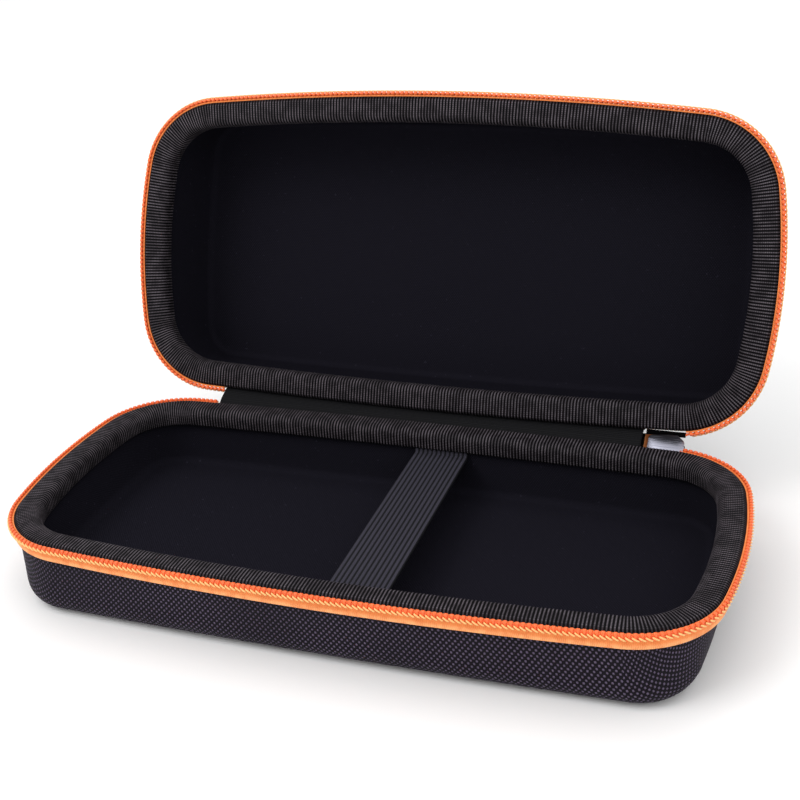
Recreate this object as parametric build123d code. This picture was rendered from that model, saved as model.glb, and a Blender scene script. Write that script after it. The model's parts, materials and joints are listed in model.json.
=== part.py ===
from build123d import *
import math
import os

# Zip-up carrying case of moulded foam sheet, in millimetres. X runs along the case, the front is
# towards -Y and Z is up. The origin is the middle of the flat bottom. Both halves share one plan
# outline and meet at the parting plane. The lid stands open on its fabric hinge.

# Plan of the case at the rim, measured on the outside of the moulded wall
rim_length = 216.0
rim_width = 102.0
rim_corner = 25.0
end_bulge = 7.7
front_bulge = 6.2
back_bulge = 2.5

# Plan where each half meets its flat face, before that edge is rounded
end_draw_in = 5.4
side_draw_in = 2.1
flat_corner = 16.0
flat_end_bulge = 2.5
flat_front_bulge = 1.5
flat_back_bulge = 1.5
flat_edge_radius = 7.0
flat_edge_facets = 5

# Depth of each half, from its flat face to the parting plane
base_depth = 25.8
lid_depth = 37.0

# Moulded sheet, lining, and the binding rolled over the rim
wall = 4.0
lining = 0.8
bond_gap = 0.05
rim_drop = 2.0
closing_gap = 0.15
binding_leg = 0.6
binding_leg_depth = 5.0
binding_roll = 2.6
binding_depth = 6.5
binding_outer_round = 1.5
binding_inner_round = 2.4
binding_lower_round = 1.0

# Zip tape and coil, which run round the rim from one end of the hinge to the other. Places on the
# back of the case are measured in from its left or right end.
tape = 0.55
tape_depth = 6.6
tape_bend_depth = 3.6
tape_flare_depth = 2.5
tape_top_depth = 1.0
tape_flare = 0.15
sewn_depth = 4.6
coil = 1.25
coil_depth = 2.4
tooth_pitch = 1.58
tooth_root = 0.5
tooth_tip = 0.35
zip_from_left = 36.0
zip_from_right = 23.5

# Hinge: both rims turn on a line behind them and below the parting plane, and a fabric strip bends
# round it
hinge_reach = 3.4
hinge_drop = 1.0
strip = 0.9
strip_lap_depth = 7.5
strip_bend_depth = 2.6
strip_from_left = 38.0
strip_from_right = 37.0
strip_bend = 1.0
lid_angle = 109.0

# Elastic strap across the tray, with both ends sewn in behind the binding roll
strap_x = 9.0
strap_width = 20.0
strap = 1.2
strap_end_depth = 3.4
strap_depth = 8.4
strap_bend = 1.3
strap_seam = 0.1

# Joined end of the zip chain, where the slider is parked. It swings on its seam on the base tape.
seam_depth = 5.6
seam_gap = 0.3
chain_from_right = 29.9
chain_length = 6.7
chain_tape = 0.5
chain_tape_reach = 4.7
chain_bend = 0.5
chain_coil = 0.65
chain_root = 0.4

# Slider, with the sizes of its plates along the chain measured from its middle
slider_from_right = 29.5
slider_length = 11.3
slider_width = 8.8
slider_tail_width = 7.4
slider_nose_width = 4.8
slider_widest = 0.5
slider_shoulder = 3.4
slider_corner = 1.2
slider_plate = 0.9
slider_channel = 2.2
slider_slot = 0.9
slider_flange = 0.8
slider_mouth = 1.0
post_start = 2.6
post_length = 2.6
post_width = 2.4
bridge_middle = -0.5
bridge_length = 6.2
bridge_width = 2.0
bridge_height = 2.8
bridge_bar = 0.9
bridge_foot = 0.9
bridge_round = 0.8

# Pull, whose pin turns under the bridge of the slider
pull_pin = 1.2
pull_hole_length = 5.0
pull_hole_width = 3.2
pull_neck_width = 5.6
pull_shoulder = 9.0
pull_width = 7.6
pull_length = 20.0
pull_round = 2.0
pull_angle = 40.0


def bow_radius(half_chord, bulge):
    """Radius of the arc that rises by bulge over its chord."""
    return (half_chord**2 + bulge**2) / (2 * bulge)


def heading(centre, point):
    """Direction of a point from a centre, in degrees."""
    return math.degrees(math.atan2(point[1] - centre[1], point[0] - centre[0]))


def corner_centre(side, following, corner):
    """Centre of the corner arc that lies tangent inside two side arcs."""
    (ax, ay), a_radius = side
    (bx, by), b_radius = following
    apart = math.hypot(bx - ax, by - ay)
    a_reach, b_reach = a_radius - corner, b_radius - corner
    along = (apart**2 + a_reach**2 - b_reach**2) / (2 * apart)
    aside = math.sqrt(a_reach**2 - along**2)
    ux, uy = (bx - ax) / apart, (by - ay) / apart
    foot_x, foot_y = ax + ux * along, ay + uy * along
    choices = [(foot_x - s * uy * aside, foot_y + s * ux * aside) for s in (1, -1)]
    return min(choices, key=lambda point: math.hypot(*point))


def outline(length, width, bulges, corner):
    """Eight tangent arcs (centre, radius, start, sweep), anticlockwise from the right end."""
    end, front, back = bulges
    end_radius = bow_radius(width / 2, end)
    front_radius = bow_radius(length / 2, front)
    back_radius = bow_radius(length / 2, back)
    sides = [
        ((length / 2 - end_radius, 0), end_radius),
        ((0, width / 2 - back_radius), back_radius),
        ((end_radius - length / 2, 0), end_radius),
        ((0, front_radius - width / 2), front_radius),
    ]
    corners = [corner_centre(sides[i], sides[(i + 1) % 4], corner) for i in range(4)]
    arcs = []
    for i, (centre, radius) in enumerate(sides):
        start = heading(centre, corners[i - 1])
        finish = heading(centre, corners[i])
        onward = heading(sides[(i + 1) % 4][0], corners[i])
        arcs.append((centre, radius, start, (finish - start) % 360))
        arcs.append((corners[i], corner, finish, (onward - finish) % 360))
    return arcs


def arc_length(arc, grow=0.0):
    _, radius, _, sweep = arc
    return (radius + grow) * math.radians(sweep)


def wall_outline(share):
    """Outline of the moulded wall, from the flat face at share 0 to the rim at share 1."""
    drawn = 1 - share
    return outline(
        rim_length - 2 * end_draw_in * drawn,
        rim_width - 2 * side_draw_in * drawn,
        (
            end_bulge * share + flat_end_bulge * drawn,
            front_bulge * share + flat_front_bulge * drawn,
            back_bulge * share + flat_back_bulge * drawn,
        ),
        rim_corner * share + flat_corner * drawn,
    )


rim = wall_outline(1)
right_end, right_back, back, left_back, _, _, front, _ = rim


def rim_distance(x):
    """Way along the rim, anticlockwise from its start, to the place with this x on the back."""
    passed = arc_length(right_end)
    for arc in (right_back, back, left_back):
        (cx, _), radius, start, sweep = arc
        angle = math.degrees(math.acos(max(-1, min(1, (x - cx) / radius))))
        if angle <= start + sweep:
            break
        passed += arc_length(arc)
    return passed + radius * math.radians(angle - start)


def rim_between(begin, finish):
    """Arcs of the rim between two distances along it, which may pass its start."""
    run, passed = [], 0
    for centre, radius, start, sweep in rim * 2:
        length = radius * math.radians(sweep)
        low = max(begin - passed, 0)
        high = min(finish - passed, length)
        if low < high:
            turn = math.degrees(low / radius)
            run.append((centre, radius, start + turn, math.degrees((high - low) / radius)))
        passed += length
    return run


def reach_at(side, x):
    """How far out in Y the outside of a long side stands at the rim."""
    (_, cy), radius, _, _ = side
    return math.sqrt(radius**2 - x**2) - abs(cy)


# Places along the back, counted from the middle of the case
zip_left = zip_from_left - rim_length / 2
zip_right = rim_length / 2 - zip_from_right
strip_left = strip_from_left - rim_length / 2
strip_right = rim_length / 2 - strip_from_right
chain_right = rim_length / 2 - chain_from_right
chain_left = chain_right - chain_length
slider_x = rim_length / 2 - slider_from_right

perimeter = sum(arc_length(arc) for arc in rim)
zip_run = rim_between(rim_distance(zip_left), rim_distance(zip_right) + perimeter)
slider_run = rim_between(rim_distance(zip_right), rim_distance(chain_left))

# Lines that the moving pieces turn on, with the case closed
hinge_y = rim_width / 2 + hinge_reach
hinge_z = base_depth - hinge_drop
seam_y = reach_at(back, chain_left) + binding_leg + bond_gap + tape + seam_gap
hinge_axis = Axis((0, hinge_y, hinge_z), (1, 0, 0))
seam_axis = Axis((0, seam_y, base_depth - seam_depth), (1, 0, 0))


def plan(arcs, grow, height):
    """Face of an outline grown outwards, at a height."""
    edges = []
    for centre, radius, start, sweep in arcs:
        edges.append(CenterArc(centre, radius + grow, start, sweep))
    return Pos(0, 0, height) * make_face(edges)


def follow(profile, arcs):
    """Sweep a profile along arcs of the rim: its x is the distance out from the rim, its y is up."""
    pieces = []
    for (cx, cy), radius, start, sweep in arcs:
        ux, uy = math.cos(math.radians(start)), math.sin(math.radians(start))
        section = Plane(origin=(cx, cy, 0), x_dir=(ux, uy, 0), z_dir=(uy, -ux, 0))
        face = section * Pos(radius, 0) * profile
        pieces.append(revolve(face, Axis((cx, cy, 0), (0, 0, 1)), sweep))
    return pieces[0].fuse(*pieces[1:]).solid()


def ribbon(points, thickness, bend):
    """Face of a strip of even thickness along bent lines."""
    return trace(FilletPolyline(*points, radius=bend), thickness)


def across(profile, left, right):
    """Extrude a profile drawn in Y and Z from one x to another."""
    return extrude(Plane.YZ.offset(left) * profile, right - left).solid()


def moulding(depth, inset, top):
    """One half as a filled body, drawn in by inset from its walls and its flat face."""
    edge = flat_edge_radius - inset
    rings = []
    for i in range(flat_edge_facets + 1):
        turn = math.radians(90 * i / flat_edge_facets)
        height = edge * (1 - math.cos(turn))
        narrowed = inset + edge * (1 - math.sin(turn))
        rings.append(plan(wall_outline(height / (top - inset)), -narrowed, inset + height))
    rings.append(plan(rim, -inset, top))
    return loft(rings, ruled=True)


def cup(depth, outer, inner, above=0.0):
    """Open moulding between two insets, which ends below the parting plane."""
    top = depth - rim_drop + above
    return (moulding(depth, outer, top) - moulding(depth, inner, top)).solid()


def shell_half(depth):
    """Moulded foam sheet with its woven face."""
    return cup(depth, 0, wall)


def lining_half(depth):
    """Knitted lining inside the sheet."""
    return cup(depth, wall + bond_gap, wall + lining)


def binding_half(depth):
    """Binding over the rim: a thin outer leg, a crown and a thick inner roll."""
    inner = -(wall + lining + binding_roll)
    top = depth - closing_gap
    corners = [
        (-wall, depth - binding_leg_depth),
        (binding_leg, depth - binding_leg_depth),
        (binding_leg, top),
        (inner, top),
        (inner, depth - binding_depth),
        (-wall, depth - binding_depth),
    ]
    profile = make_face(Polyline(*corners, close=True))
    rounds = {
        corners[2]: binding_outer_round,
        corners[3]: binding_inner_round,
        corners[4]: binding_lower_round,
    }
    for corner, radius in rounds.items():
        profile = fillet(profile.vertices().sort_by_distance((*corner, 0))[0], radius)
    sheet = cup(depth, -bond_gap, wall + lining + bond_gap, bond_gap)
    return (follow(profile, rim) - sheet).solid()


def tape_half(depth):
    """Zip tape: sewn flat to the wall and flared towards the coil, and only sewn by the slider."""
    inside = binding_leg + bond_gap + tape / 2
    line = [
        (inside, depth - tape_depth),
        (inside, depth - tape_bend_depth),
        (inside + tape_flare, depth - tape_flare_depth),
        (inside + tape_flare, depth - tape_top_depth),
    ]
    sewn_height = tape_depth - sewn_depth
    sewn = Pos(inside, depth - tape_depth + sewn_height / 2) * Rectangle(tape, sewn_height)
    flared = follow(ribbon(line, tape, tape), zip_run)
    return flared.fuse(follow(sewn, slider_run)).solid()


def stations(run, grow, count):
    """Evenly spaced stations along a run, as (centre, radius, angle) of the arc at each."""
    step = sum(arc_length(arc, grow) for arc in run) / count
    places = []
    for i in range(count + 1):
        way = i * step
        for arc in run:
            length = arc_length(arc, grow)
            if way <= length or arc == run[-1]:
                break
            way -= length
        centre, radius, start, _ = arc
        places.append((centre, radius, math.radians(start) + way / (radius + grow)))
    return places


def polygon(*points):
    return Face(Wire.make_polygon(points, close=True))


def coil_half(depth, at_station, between):
    """Zip coil as one toothed band. Its edge stands at one height at each station and at the other
    height halfway to the next, so each tooth has a root and a tip."""
    middle = binding_leg + bond_gap + tape + tape_flare + bond_gap + coil / 2
    count = round(sum(arc_length(arc, middle) for arc in zip_run) / tooth_pitch)
    low, high, mid = depth - coil_depth, depth + at_station, depth + between
    columns = []
    for (cx, cy), radius, angle in stations(zip_run, middle, count):
        for side in (middle - coil / 2, middle + coil / 2):
            reach = radius + side
            columns.append((cx + reach * math.cos(angle), cy + reach * math.sin(angle)))
    inner, outer = columns[0::2], columns[1::2]
    faces = []
    for i in range(count):
        quads = []
        for rail in (inner, outer):
            (ax, ay), (bx, by) = rail[i], rail[i + 1]
            foot_a, foot_b = (ax, ay, low), (bx, by, low)
            top_a, top_b = (ax, ay, high), (bx, by, high)
            peak = ((ax + bx) / 2, (ay + by) / 2, mid)
            faces.append(polygon(foot_a, foot_b, top_b, peak, top_a))
            quads.append((foot_a, foot_b, top_a, top_b, peak))
        (fa, fb, ta, tb, p), (ga, gb, ua, ub, q) = quads
        faces.append(polygon(fa, fb, gb, ga))
        faces += [polygon(ta, ua, q), polygon(ta, q, p), polygon(p, q, ub), polygon(p, ub, tb)]
        if i == 0:
            faces.append(polygon(fa, ga, ua, ta))
        if i == count - 1:
            faces.append(polygon(fb, gb, ub, tb))
    return Solid(Shell(faces))


def turned(point, angle):
    """A point of a side view, y and z from the hinge line, after the lid opens by an angle."""
    y, z = point
    c, s = math.cos(math.radians(angle)), math.sin(math.radians(angle))
    return y * c + z * s, z * c - y * s


def hinge_strip():
    """Fabric strip behind both rims. It is sewn to the base and to the open lid."""
    near = reach_at(back, 0) + binding_leg + bond_gap + strip / 2 - hinge_y
    depths = (strip_lap_depth, strip_bend_depth)
    base_side = [(near, hinge_drop - depth) for depth in depths]
    lid_side = [turned((near, hinge_drop + depth), lid_angle) for depth in reversed(depths)]
    line = [(hinge_y + y, hinge_z + z) for y, z in base_side + [(0, 0)] + lid_side]
    return across(ribbon(line, strip, strip_bend), strip_left, strip_right)


def strap_solid(spare):
    """Elastic strap from wall to wall, or the room for it where spare is more than zero."""
    inside = wall + lining
    slope = side_draw_in / (base_depth - rim_drop - inside)
    half = strap_width / 2 + spare

    def at_wall(side, way):
        """Sewn end of the strap and its bend, down one long wall."""
        reach = reach_at(side, abs(strap_x) + half) - inside - strap_seam - strap / 2
        points = []
        for depth in (strap_end_depth - spare, strap_depth):
            points.append((way * (reach - slope * (depth - rim_drop)), base_depth - depth))
        return points

    line = at_wall(front, -1) + at_wall(back, 1)[::-1]
    return across(ribbon(line, strap + 2 * spare, strap_bend), strap_x - half, strap_x + half)


def chain_end():
    """Joined end of the zip: its tape from above the chain to the seam, and the meshed coil on it."""
    line = [
        (hinge_y, base_depth + chain_tape_reach),
        (hinge_y, base_depth - chain_tape_reach),
        (seam_y, base_depth - seam_depth),
    ]
    fabric = across(ribbon(line, chain_tape, chain_bend), chain_left, chain_right)
    teeth = round((chain_right - chain_left) / tooth_pitch)
    step = (chain_right - chain_left) / teeth
    inside = hinge_y + chain_tape / 2 + bond_gap
    edge = [(chain_left, inside), (chain_left, inside + chain_root)]
    for i in range(teeth):
        edge.append((chain_left + (i + 0.5) * step, inside + chain_coil))
        edge.append((chain_left + (i + 1) * step, inside + chain_root))
    edge.append((chain_right, inside))
    profile = Pos(0, 0, base_depth - coil_depth) * make_face(Polyline(*edge, close=True))
    return fabric, extrude(profile, 2 * coil_depth).solid()


# The slider and the pull are drawn lying flat, then stood up on the closed chain
slider_place = Plane(origin=(slider_x, hinge_y, base_depth), x_dir=(1, 0, 0), z_dir=(0, 1, 0))
slider_face = slider_channel / 2 + slider_plate
pin_height = slider_face + (bridge_height - bridge_bar) / 2


def slider_body():
    """Two plates on a wedge post, with flanges that hold the coils and a bridge for the pull."""
    half = slider_length / 2
    corners = [
        (-half, slider_tail_width / 2),
        (slider_widest, slider_width / 2),
        (slider_shoulder, slider_width / 2),
        (half, slider_nose_width / 2),
    ]
    corners += [(x, -y) for x, y in reversed(corners)]
    outline_face = make_face(Polyline(*corners, close=True))
    outline_face = fillet(outline_face.vertices(), slider_corner)
    plate = Pos(0, 0, slider_channel / 2) * extrude(outline_face, slider_plate)
    rail_length = half + slider_shoulder - 2 * slider_mouth
    rails = outline_face - offset(outline_face, -slider_flange)
    rails &= Pos((slider_shoulder - half) / 2, 0) * Rectangle(rail_length, slider_width)
    flange = Pos(0, 0, slider_slot / 2) * extrude(rails, (slider_channel - slider_slot) / 2)
    side = plate + flange
    post_corners = [
        (post_start, 0),
        (post_start + post_length / 2, post_width / 2),
        (post_start + post_length, 0),
        (post_start + post_length / 2, -post_width / 2),
    ]
    post_face = Pos(0, 0, -slider_channel / 2) * make_face(Polyline(*post_corners, close=True))
    post = extrude(post_face, slider_channel)
    arch = Pos(0, bridge_height / 2) * Rectangle(bridge_length, bridge_height)
    arch = fillet(arch.vertices().group_by(Axis.Y)[-1], bridge_round)
    opening = bridge_height - bridge_bar
    arch -= Pos(0, opening / 2) * Rectangle(bridge_length - 2 * bridge_foot, opening)
    bridge = Plane.XZ.offset(-bridge_width / 2) * Pos(bridge_middle, slider_face) * arch
    return (side + mirror(side, about=Plane.XY) + post + extrude(bridge, bridge_width)).solid()


def pull_tab():
    """Flat pull with a square eye round the bridge. It turns on the bar of the eye."""
    start = -pull_pin / 2
    corners = [
        (start, pull_neck_width / 2),
        (pull_pin / 2 + pull_hole_length, pull_neck_width / 2),
        (pull_shoulder, pull_width / 2),
        (pull_length, pull_width / 2),
    ]
    corners += [(x, -y) for x, y in reversed(corners)]
    face = make_face(Polyline(*corners, close=True))
    face = fillet(face.vertices().group_by(Axis.X)[-1], pull_round)
    face -= Pos((pull_pin + pull_hole_length) / 2, 0) * Rectangle(pull_hole_length, pull_hole_width)
    tab = extrude(Pos(0, 0, -pull_pin / 2) * face, pull_pin)
    return (Pos(bridge_middle, 0, pin_height) * Rot(0, -pull_angle, 0) * tab).solid()


def on_lid(piece):
    """Turn a half over onto the base, then open it."""
    closed = Pos(0, 0, base_depth + lid_depth) * mirror(piece, about=Plane.XY)
    return closed.rotate(hinge_axis, -lid_angle)


def on_chain(piece):
    """Swing a piece of the chain end out on its seam by half of the lid's opening."""
    return piece.rotate(seam_axis, -lid_angle / 2)


def case_pieces():
    """Every piece of the case under its name, with the lid open."""
    chain_tape_end, chain_coil_end = chain_end()
    return {
        "base_shell": shell_half(base_depth),
        "base_lining": lining_half(base_depth),
        "base_rim_binding": binding_half(base_depth) - strap_solid(strap_seam),
        "base_zip_tape": tape_half(base_depth),
        "base_zip_coil": coil_half(base_depth, -tooth_root, tooth_tip),
        "elastic_strap": strap_solid(0),
        "hinge_strip": hinge_strip(),
        "lid_shell": on_lid(shell_half(lid_depth)),
        "lid_lining": on_lid(lining_half(lid_depth)),
        "lid_rim_binding": on_lid(binding_half(lid_depth)),
        "lid_zip_tape": on_lid(tape_half(lid_depth)),
        "lid_zip_coil": on_lid(coil_half(lid_depth, tooth_tip, -tooth_root)),
        "zip_chain_tape": on_chain(chain_tape_end),
        "zip_chain_coil": on_chain(chain_coil_end),
        "zip_slider_body": on_chain(slider_place * slider_body()),
        "zip_pull_tab": on_chain(slider_place * pull_tab()),
    }


if __name__ == "__main__":
    os.makedirs("parts", exist_ok=True)
    for name, piece in case_pieces().items():
        export_step(piece, f"parts/{name}.step")
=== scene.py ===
"""Zip-up tool carrying case: sewn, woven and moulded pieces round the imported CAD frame."""

import json
import math

import bpy
from mathutils import Matrix, Vector, kdtree

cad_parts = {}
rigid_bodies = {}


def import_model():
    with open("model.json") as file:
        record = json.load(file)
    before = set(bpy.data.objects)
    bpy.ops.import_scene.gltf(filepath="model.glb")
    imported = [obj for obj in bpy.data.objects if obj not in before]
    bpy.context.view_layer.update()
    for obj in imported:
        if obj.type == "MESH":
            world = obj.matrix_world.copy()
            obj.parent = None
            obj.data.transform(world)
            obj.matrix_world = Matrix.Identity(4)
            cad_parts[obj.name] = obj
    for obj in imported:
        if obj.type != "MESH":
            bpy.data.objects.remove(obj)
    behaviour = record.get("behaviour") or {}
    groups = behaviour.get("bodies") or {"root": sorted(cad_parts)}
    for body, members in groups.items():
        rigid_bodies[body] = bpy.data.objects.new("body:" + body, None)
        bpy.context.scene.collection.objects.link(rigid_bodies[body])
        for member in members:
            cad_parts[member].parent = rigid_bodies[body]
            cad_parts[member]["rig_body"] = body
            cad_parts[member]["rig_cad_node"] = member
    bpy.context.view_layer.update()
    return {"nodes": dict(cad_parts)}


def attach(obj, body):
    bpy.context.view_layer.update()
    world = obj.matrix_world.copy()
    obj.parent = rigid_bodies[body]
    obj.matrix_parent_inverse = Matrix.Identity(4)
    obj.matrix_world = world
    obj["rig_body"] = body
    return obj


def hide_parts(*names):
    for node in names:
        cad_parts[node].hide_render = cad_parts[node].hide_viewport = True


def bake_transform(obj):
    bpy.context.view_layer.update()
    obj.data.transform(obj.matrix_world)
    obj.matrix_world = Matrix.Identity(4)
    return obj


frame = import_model()

bl_info = {
    "name": "Tool carrying case",
    "version": (1, 0, 0),
    "blender": (4, 5, 0),
    "location": "3D View > Sidebar > Carrying case",
    "description": "Builds the woven, sewn and moulded pieces of a zip-up tool carrying case",
    "category": "Object",
}

MM = 0.001

# Plan of the case, at the rim and where each half meets its flat face: length, width, how far
# the ends, the front and the back bow out, and the radius of the corners
RIM_PLAN = (216 * MM, 102 * MM, (7.7 * MM, 6.2 * MM, 2.5 * MM), 25 * MM)
FLAT_PLAN = (205.2 * MM, 97.8 * MM, (2.5 * MM, 1.5 * MM, 1.5 * MM), 16 * MM)

# Depths of both halves from the parting plane, the radius of the flat face's edge, the thickness
# of wall and lining, and how far the wall's top stays below the parting plane
BASE_DEPTH = 25.8 * MM
LID_DEPTH = 37 * MM
HALVES = {"base": BASE_DEPTH, "lid": LID_DEPTH}
FLAT_EDGE = 7 * MM
WALL = 4 * MM
LINING = 0.8 * MM
RIM_DROP = 2 * MM

# How far the lid stands open, its hinge line, and the seam that the zip's end swings on
LID_ANGLE = math.radians(109)
HINGE_Y = 54.4 * MM
HINGE_Z = 24.8 * MM
SEAM_Y = 51.408 * MM
SEAM_Z = 20.2 * MM

# Places along the back of the case
ZIP_LEFT = -75.5 * MM
ZIP_RIGHT = 84.5 * MM
STRIP_LEFT = -75 * MM
STRIP_RIGHT = 71.3 * MM
CHAIN_LEFT = 71.4 * MM
CHAIN_RIGHT = 78.1 * MM
# Ends of the black tab and strip laid by the slider as painted shade
SHADE_TAB_LEFT = 71.6 * MM
SHADE_TAB_RIGHT = 84 * MM
SIDE_SHADE_LEFT = 70.3 * MM
SIDE_SHADE_RIGHT = 71.6 * MM

# Points nearer to each other than this become one
MERGE = 0.01 * MM


# Sizes and colours that a user may change


def measure(name, description, default):
    """A length property with its default in metres."""
    return bpy.props.FloatProperty(
        name=name, description=description, default=default, precision=5, unit="LENGTH"
    )


class CaseSizes(bpy.types.PropertyGroup):
    """Sizes of the threads, ribs and teeth."""

    rib_pitch: measure("Rib pitch", "Distance between two ribs of the binding", 1.028 * MM)
    rib_height: measure("Rib height", "How far a rib of the binding stands up", 0.16 * MM)
    tooth_pitch: measure("Tooth pitch", "Distance between two teeth of the zip", 1.597 * MM)
    wire: measure("Coil wire", "Thickness of the wire that the zip coil is wound from", 0.62 * MM)
    weave_cell: measure("Weave cell", "Width of one crossing of the woven face", 0.865 * MM)
    weave_row: measure("Weave row", "Height of one crossing of the woven face", 1.0 * MM)
    strap_ribs: bpy.props.IntProperty(
        name="Strap ribs",
        description="Number of lengthwise ribs on the elastic strap",
        default=12,
        min=4,
    )


def colour(name, description, default):
    """A colour property with its default in linear light."""
    return bpy.props.FloatVectorProperty(
        name=name, description=description, default=default, size=3, subtype="COLOR", min=0, max=1
    )


class CaseColours(bpy.types.PropertyGroup):
    """Colours of the finishes."""

    # Painted light on the woven face: the crest colour is a painted highlight on the raised
    # yarns, the other is the black yarn with painted shade in the sunk crossings
    weave: colour("Weave", "Sunk yarns of the woven face", (0.006, 0.0046, 0.0076))
    weave_crest_highlight: colour("Weave crest", "Raised yarns of the woven face", (0.125, 0.098, 0.155))
    knit: colour("Knit", "Lining inside both halves", (0.009, 0.0085, 0.0125))
    # Painted light on the binding: the valley colour is painted shade, the crest colour is a
    # painted highlight on the ribs
    binding: colour("Binding", "Valleys of the ribbed binding", (0.002, 0.0018, 0.0023))
    binding_crest_highlight: colour("Binding crest", "Ribs of the binding", (0.13, 0.112, 0.128))
    # The tape's edge colour is a painted highlight along its rounded lower edge
    tape: colour("Zip tape", "Woven tape of the zip", (0.9, 0.28, 0.075))
    tape_edge_highlight: colour("Tape edge", "Lighter lower edge of the tape", (1.0, 0.45, 0.18))
    coil: colour("Zip coil", "Nylon wire of the zip", (1.0, 0.165, 0.038))
    thread: colour("Zip thread", "Thread that holds the coil", (1.0, 0.55, 0.2))
    # Painted shade on the strap: the valley colour darkens the valleys between the ribs
    strap: colour("Strap", "Ribs of the elastic strap", (0.05, 0.047, 0.066))
    strap_valley_shade: colour("Strap valley", "Dark valleys between the ribs", (0.007, 0.007, 0.009))
    hinge: colour("Hinge fabric", "Fabric strip between both halves", (0.006, 0.006, 0.007))
    metal: colour("Slider metal", "Plated metal of the slider", (0.36, 0.36, 0.43))
    floor: colour("Floor", "Plain floor under the case", (0.93, 0.93, 0.93))


# Plan outline, the same as the CAD's


def bow_radius(half_chord, bulge):
    """Radius of a side that bows out by bulge over its whole chord."""
    return (half_chord**2 + bulge**2) / (2 * bulge)


def heading(centre, point):
    """Direction from a centre to a point."""
    return math.atan2(point[1] - centre[1], point[0] - centre[0])


def corner_centre(side, following, corner):
    """Centre of the corner arc that lies tangent inside two side arcs."""
    (ax, ay), a_radius = side
    (bx, by), b_radius = following
    apart = math.hypot(bx - ax, by - ay)
    a_reach, b_reach = a_radius - corner, b_radius - corner
    along = (apart**2 + a_reach**2 - b_reach**2) / (2 * apart)
    aside = math.sqrt(a_reach**2 - along**2)
    ux, uy = (bx - ax) / apart, (by - ay) / apart
    foot_x, foot_y = ax + ux * along, ay + uy * along
    choices = [(foot_x - s * uy * aside, foot_y + s * ux * aside) for s in (1, -1)]
    return min(choices, key=lambda point: math.hypot(*point))


def outline(length, width, bulges, corner):
    """Eight tangent arcs (centre, radius, start, sweep), anticlockwise from the right end."""
    end, front, back = bulges
    end_radius = bow_radius(width / 2, end)
    front_radius = bow_radius(length / 2, front)
    back_radius = bow_radius(length / 2, back)
    sides = [
        ((length / 2 - end_radius, 0), end_radius),
        ((0, width / 2 - back_radius), back_radius),
        ((end_radius - length / 2, 0), end_radius),
        ((0, front_radius - width / 2), front_radius),
    ]
    corners = [corner_centre(sides[i], sides[(i + 1) % 4], corner) for i in range(4)]
    arcs = []
    for i, (centre, radius) in enumerate(sides):
        start = heading(centre, corners[i - 1])
        finish = heading(centre, corners[i])
        onward = heading(sides[(i + 1) % 4][0], corners[i])
        arcs.append((centre, radius, start, (finish - start) % math.tau))
        arcs.append((corners[i], corner, finish, (onward - finish) % math.tau))
    return arcs


def wall_outline(share):
    """Outline of the moulded wall, from the flat face at share 0 to the rim at share 1."""

    def between(flat, rim):
        return flat + (rim - flat) * share

    length, width, corner = (between(FLAT_PLAN[i], RIM_PLAN[i]) for i in (0, 1, 3))
    bulges = [between(flat, rim) for flat, rim in zip(FLAT_PLAN[2], RIM_PLAN[2])]
    return outline(length, width, bulges, corner)


RIM = outline(*RIM_PLAN)
PERIMETER = sum(radius * sweep for _, radius, _, sweep in RIM)


def rim_distance(x):
    """Way along the rim, anticlockwise from its start, to the place with this x on the back."""
    passed = RIM[0][1] * RIM[0][3]
    for (cx, _), radius, start, sweep in RIM[1:4]:
        angle = math.acos(max(-1, min(1, (x - cx) / radius)))
        if angle <= start + sweep:
            break
        passed += radius * sweep
    return passed + radius * (angle - start)


def rim_between(begin, finish):
    """Arcs of the rim between two distances along it, which may pass its start."""
    run, passed = [], 0
    for centre, radius, start, sweep in RIM * 2:
        length = radius * sweep
        low = max(begin - passed, 0)
        high = min(finish - passed, length)
        if low < high:
            run.append((centre, radius, start + low / radius, (high - low) / radius))
        passed += length
    return run


# Distances along the rim between which the zip runs
ZIP_RUN = (rim_distance(ZIP_LEFT), rim_distance(ZIP_RIGHT) + PERIMETER)

# Places of the long sides' arcs in the outline
BACK, FRONT = 2, 6


def reach_at(side, x):
    """How far out in Y the outside of a long side stands at the rim."""
    (_, cy), radius, _, _ = RIM[side]
    return math.sqrt(radius**2 - x**2) - abs(cy)


def share_between(value, low, high):
    """How far a value is on its way from low to high, from 0 to 1."""
    return max(0.0, min(1.0, (value - low) / (high - low)))


# Modelling steps that several pieces share


def select_only(piece):
    """Select one piece and make it the active one."""
    bpy.ops.object.select_all(action="DESELECT")
    piece.select_set(True)
    bpy.context.view_layer.objects.active = piece


def name_piece(piece, name):
    """Name a piece and its mesh."""
    piece.name = name
    piece.data.name = name


def draw_line(name, points):
    """Start a piece as a closed line of vertices, each drawn out of the last, in edit mode."""
    bpy.ops.object.select_all(action="DESELECT")
    bpy.ops.mesh.primitive_plane_add(size=MM)
    piece = bpy.context.object
    name_piece(piece, name)
    bpy.ops.object.mode_set(mode="EDIT")
    bpy.ops.mesh.merge(type="CENTER")
    bpy.ops.transform.translate(value=points[0])
    for before, after in zip(points, points[1:]):
        step = Vector(after) - Vector(before)
        bpy.ops.mesh.extrude_vertices_move(TRANSFORM_OT_translate={"value": step})
    bpy.ops.mesh.select_all(action="SELECT")
    bpy.ops.mesh.edge_face_add()
    bpy.ops.mesh.delete(type="ONLY_FACE")
    bpy.ops.mesh.select_all(action="SELECT")
    return piece


def upright(profile):
    """Points in Y and Z of a profile given in millimetres out from the rim line and up."""
    return [(0, -out * MM, height * MM) for out, height in profile]


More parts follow.
